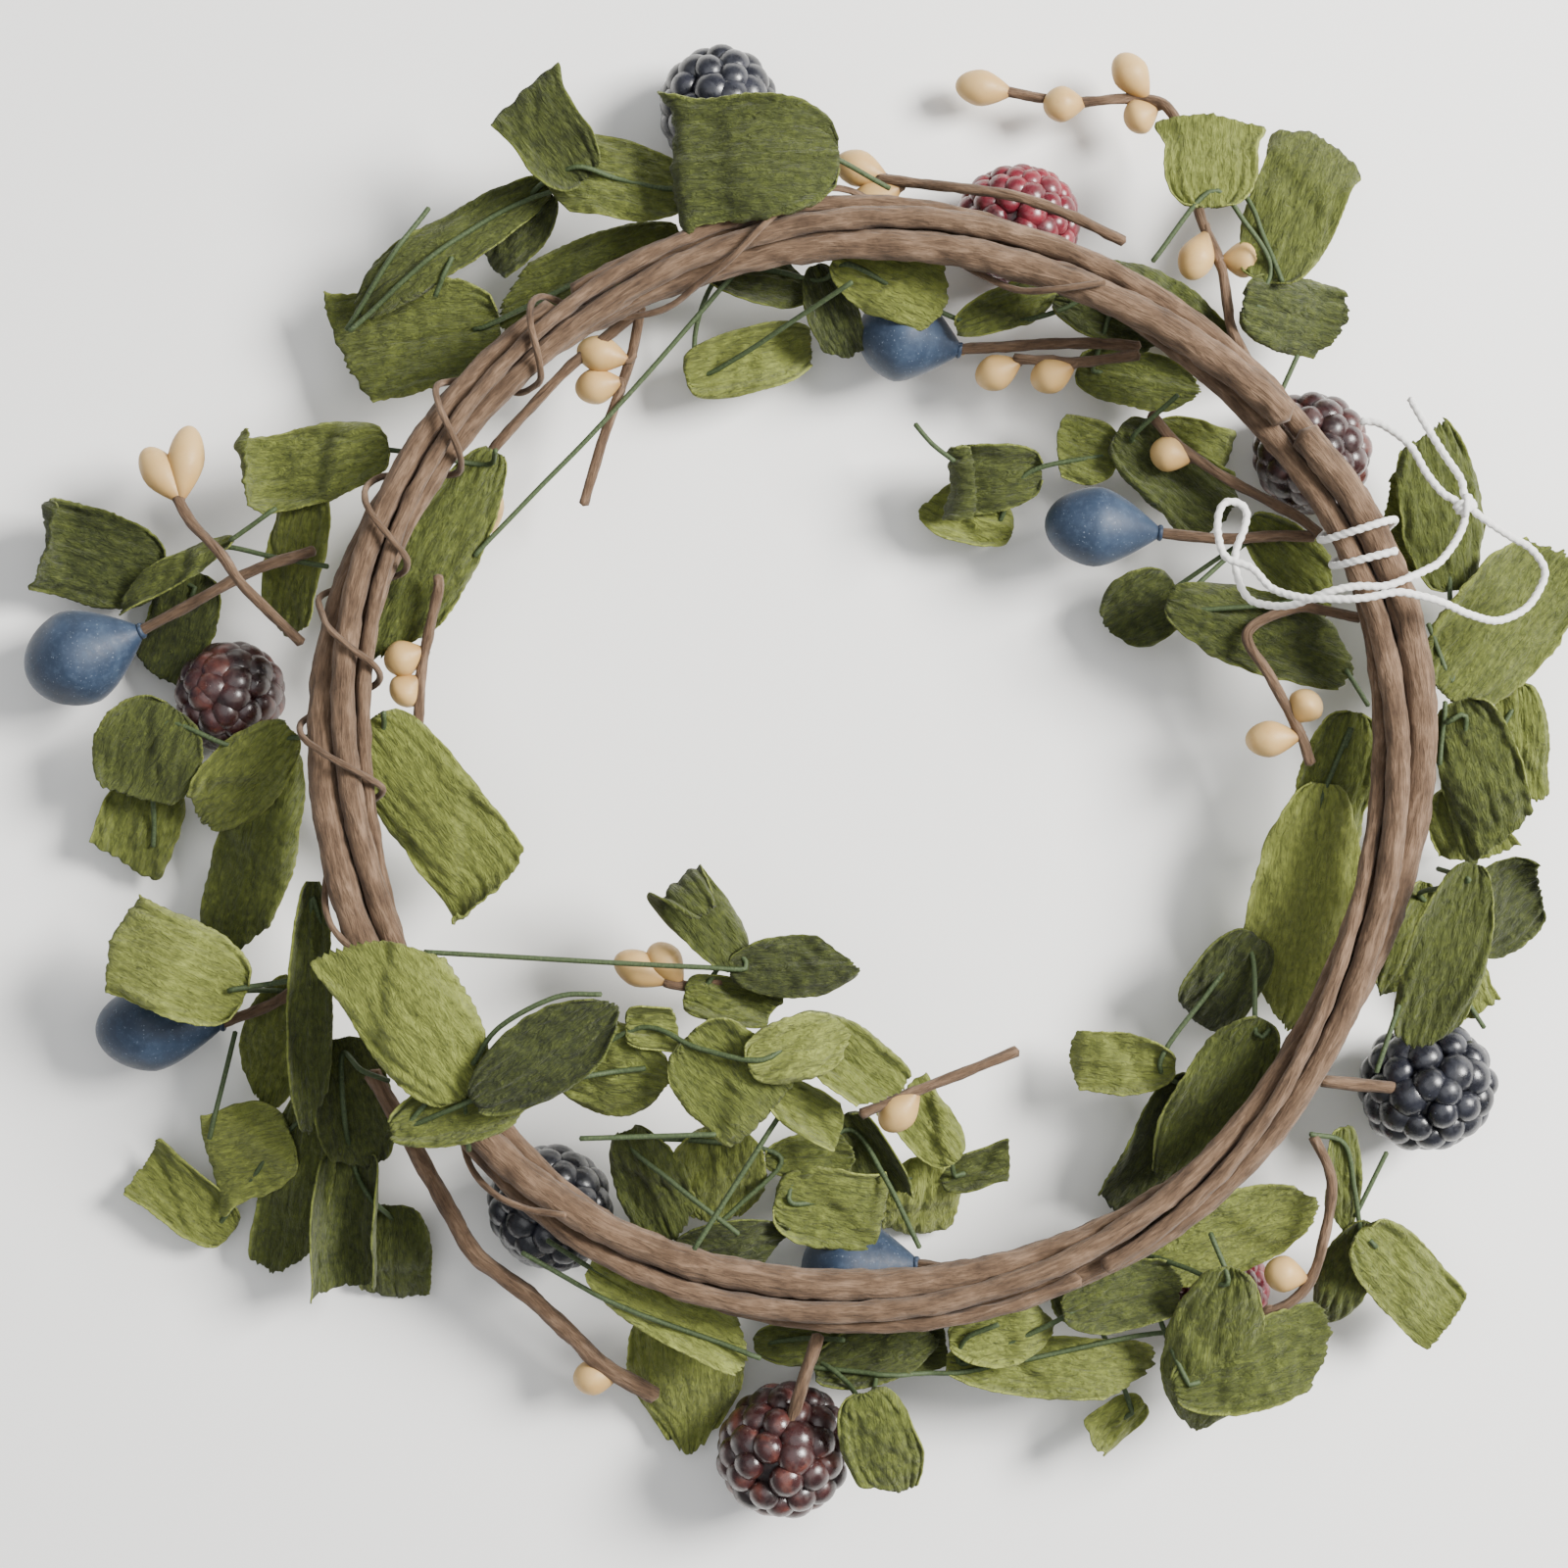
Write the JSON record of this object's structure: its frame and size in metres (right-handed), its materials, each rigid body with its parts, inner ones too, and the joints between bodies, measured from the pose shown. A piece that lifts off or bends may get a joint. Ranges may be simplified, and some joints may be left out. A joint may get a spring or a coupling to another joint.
{
  "type": "berry wreath",
  "caption": "Small harvest door wreath: a ring of twisted paper-wrapped strands carrying wired paper leaves, berries, drops and twigs, with a cotton hanging loop.",
  "frame": {"origin": "centre of the base of the wreath's box, on the surface that it lies on face down; the free hanging string and its knot aren't counted in the box", "axes": "+Z out of the wreath's back, up from the surface that it lies on; +Y towards the top of the ring as it lies, with the hanging string at the upper right; +X right"},
  "size_m": [0.3018, 0.285, 0.0544],
  "materials": {
    "crepe_bark": "matte",
    "cotton_string": "matte",
    "berry_black": "satin",
    "berry_plum": "satin",
    "berry_red": "satin",
    "drop_blue": "matte",
    "leaf_paper_pale": "matte",
    "leaf_paper_olive": "matte"
  },
  "bodies": {
    "wreath": {"ring_strand_thick": "crepe_bark", "ring_strand_second": "crepe_bark", "ring_strand_third": "crepe_bark", "ring_strand_thin": "crepe_bark", "tendril_wrap": "crepe_bark", "hanger_tie": "cotton_string", "hanger_string": "cotton_string", "hanger_knot": "cotton_string", "bramble_top": "berry_black", "raspberry_top": "berry_red", "bramble_upper_right": "berry_plum", "raspberry_lower_right": "berry_red", "bramble_lower_left": "berry_black", "bramble_left": "berry_plum", "blue_drop_top": "drop_blue", "blue_drop_left": "drop_blue", "blue_drop_lower_left": "drop_blue", "blue_drop_bottom": "drop_blue", "ring_strand_loose": "crepe_bark", "twig_top_right": "crepe_bark", "twig_top": "crepe_bark", "twig_top_inner": "crepe_bark", "twig_upper_right": "crepe_bark", "twig_right_inner": "crepe_bark", "twig_lower_right": "crepe_bark", "twig_inner_upper_left": "crepe_bark", "twig_left_inner": "crepe_bark", "twig_centre": "crepe_bark", "twig_inner_pips": "crepe_bark", "leaf_spray_top_outer": "leaf_paper_olive", "leaf_spray_top_under": "leaf_paper_pale", "leaf_spray_upper_left": "leaf_paper_olive", "leaf_spray_left_drop": "leaf_paper_pale", "leaf_spray_left_fold": "leaf_paper_olive", "leaf_spray_over_drop": "leaf_paper_pale", "leaf_spray_lower_left": "leaf_paper_olive", "leaf_spray_low_cups": "leaf_paper_pale", "leaf_spray_raised_left": "leaf_paper_olive", "leaf_spray_raised_right": "leaf_paper_pale", "leaf_spray_low_centre": "leaf_paper_olive", "leaf_spray_low_centre_roll": "leaf_paper_pale", "leaf_spray_inner_wire": "leaf_paper_olive", "leaf_spray_bottom_left": "leaf_paper_pale", "leaf_spray_bottom_mid": "leaf_paper_olive", "leaf_spray_bottom_right": "leaf_paper_pale", "leaf_spray_bottom_front": "leaf_paper_olive", "leaf_spray_right_curl": "leaf_paper_pale", "leaf_spray_right_inner": "leaf_paper_olive", "leaf_spray_inner_right": "leaf_paper_pale", "leaf_spray_right_outer": "leaf_paper_olive", "leaf_spray_right_roll": "leaf_paper_pale", "leaf_spray_right_top": "leaf_paper_olive", "leaf_spray_under_string": "leaf_paper_pale", "leaf_spray_inner_top_right": "leaf_paper_olive", "leaf_spray_top_right": "leaf_paper_pale", "leaf_spray_top_inner": "leaf_paper_olive"},
    "drop_stem": {"blue_drop_upper_right": "drop_blue"},
    "pip_twig": {"twig_left_outer": "crepe_bark"},
    "right_berry": {"bramble_right": "berry_black"},
    "bottom_berry": {"bramble_bottom": "berry_plum"}
  },
  "joints": [
    {"name": "drop_stem_bend", "type": "hinge", "parent": "wreath", "child": "drop_stem", "pos_m": [0.09654, 0.04622, 0.025], "axis": [0.0603, 0.9982, 0], "range_deg": [-3, 8]},
    {"name": "pip_twig_bend", "type": "hinge", "parent": "wreath", "child": "pip_twig", "pos_m": [-0.09472, 0.02576, 0.031], "axis": [0.7625, 0.647, 0], "range_deg": [-5, 20]},
    {"name": "right_berry_bend", "type": "hinge", "parent": "wreath", "child": "right_berry", "pos_m": [0.0979, -0.05713, 0.0255], "axis": [-0.1017, -0.9948, 0], "range_deg": [-3, 15]},
    {"name": "bottom_berry_bend", "type": "hinge", "parent": "wreath", "child": "bottom_berry", "pos_m": [0.00239, -0.10549, 0.0255], "axis": [-0.9613, 0.2753, 0], "range_deg": [-3, 15]}
  ]
}
